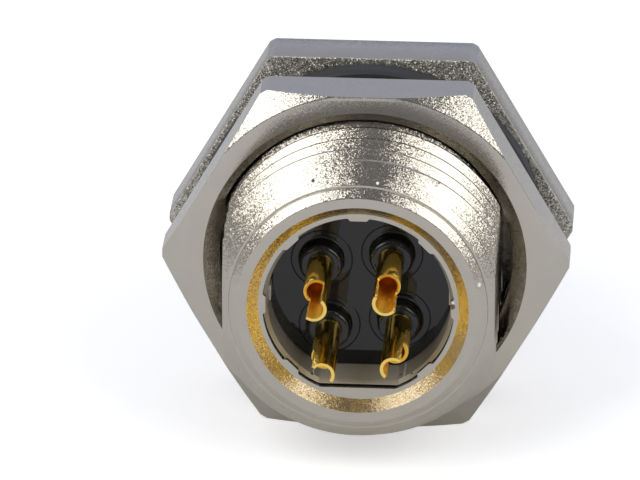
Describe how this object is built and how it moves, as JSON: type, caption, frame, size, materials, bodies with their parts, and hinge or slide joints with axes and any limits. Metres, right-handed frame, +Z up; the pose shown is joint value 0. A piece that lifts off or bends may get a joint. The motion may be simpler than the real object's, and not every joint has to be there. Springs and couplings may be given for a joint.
{
  "type": "panel connector",
  "caption": "Panel-mount circular connector with a solder-cup rear, a hexagonal flange and nut, a rubber seal and a threaded collar for the mating plug.",
  "frame": {"origin": "on the connector's axis, in the plane of the flange face that meets the panel", "axes": "+Y along the axis towards the mating end, -Y towards the solder cups, +Z up with a flat of each hexagon at the top and the bottom, +X to the right seen from the solder side"},
  "size_m": [0.0206, 0.0252, 0.018],
  "materials": {
    "nickel_plate": "satin nickel plating on brass, slightly grained",
    "nickel_nut": "satin nickel plating on brass",
    "seal_rubber": "matte black rubber",
    "sleeve_metal": "dull grey plated sheet",
    "insert_plastic": "glossy black moulded plastic",
    "carrier_plastic": "black moulded plastic",
    "o_ring_rubber": "soft black rubber",
    "gold_plate": "bright gold plating"
  },
  "bodies": {
    "shell_body": {"shell": "nickel_plate", "panel_seal": "seal_rubber", "inner_sleeve": "sleeve_metal", "rear_insert": "insert_plastic", "contact_carrier": "carrier_plastic", "carrier_seal": "o_ring_rubber", "contact_1": "gold_plate", "contact_2": "gold_plate", "contact_3": "gold_plate", "contact_4": "gold_plate"},
    "nut": {"mounting_nut": "nickel_nut"}
  },
  "joints": [
    {"name": "nut_travel", "type": "slide", "parent": "shell_body", "child": "nut", "axis": [0, -1, 0], "range_m": [-0.0013, 0.0123]}
  ]
}
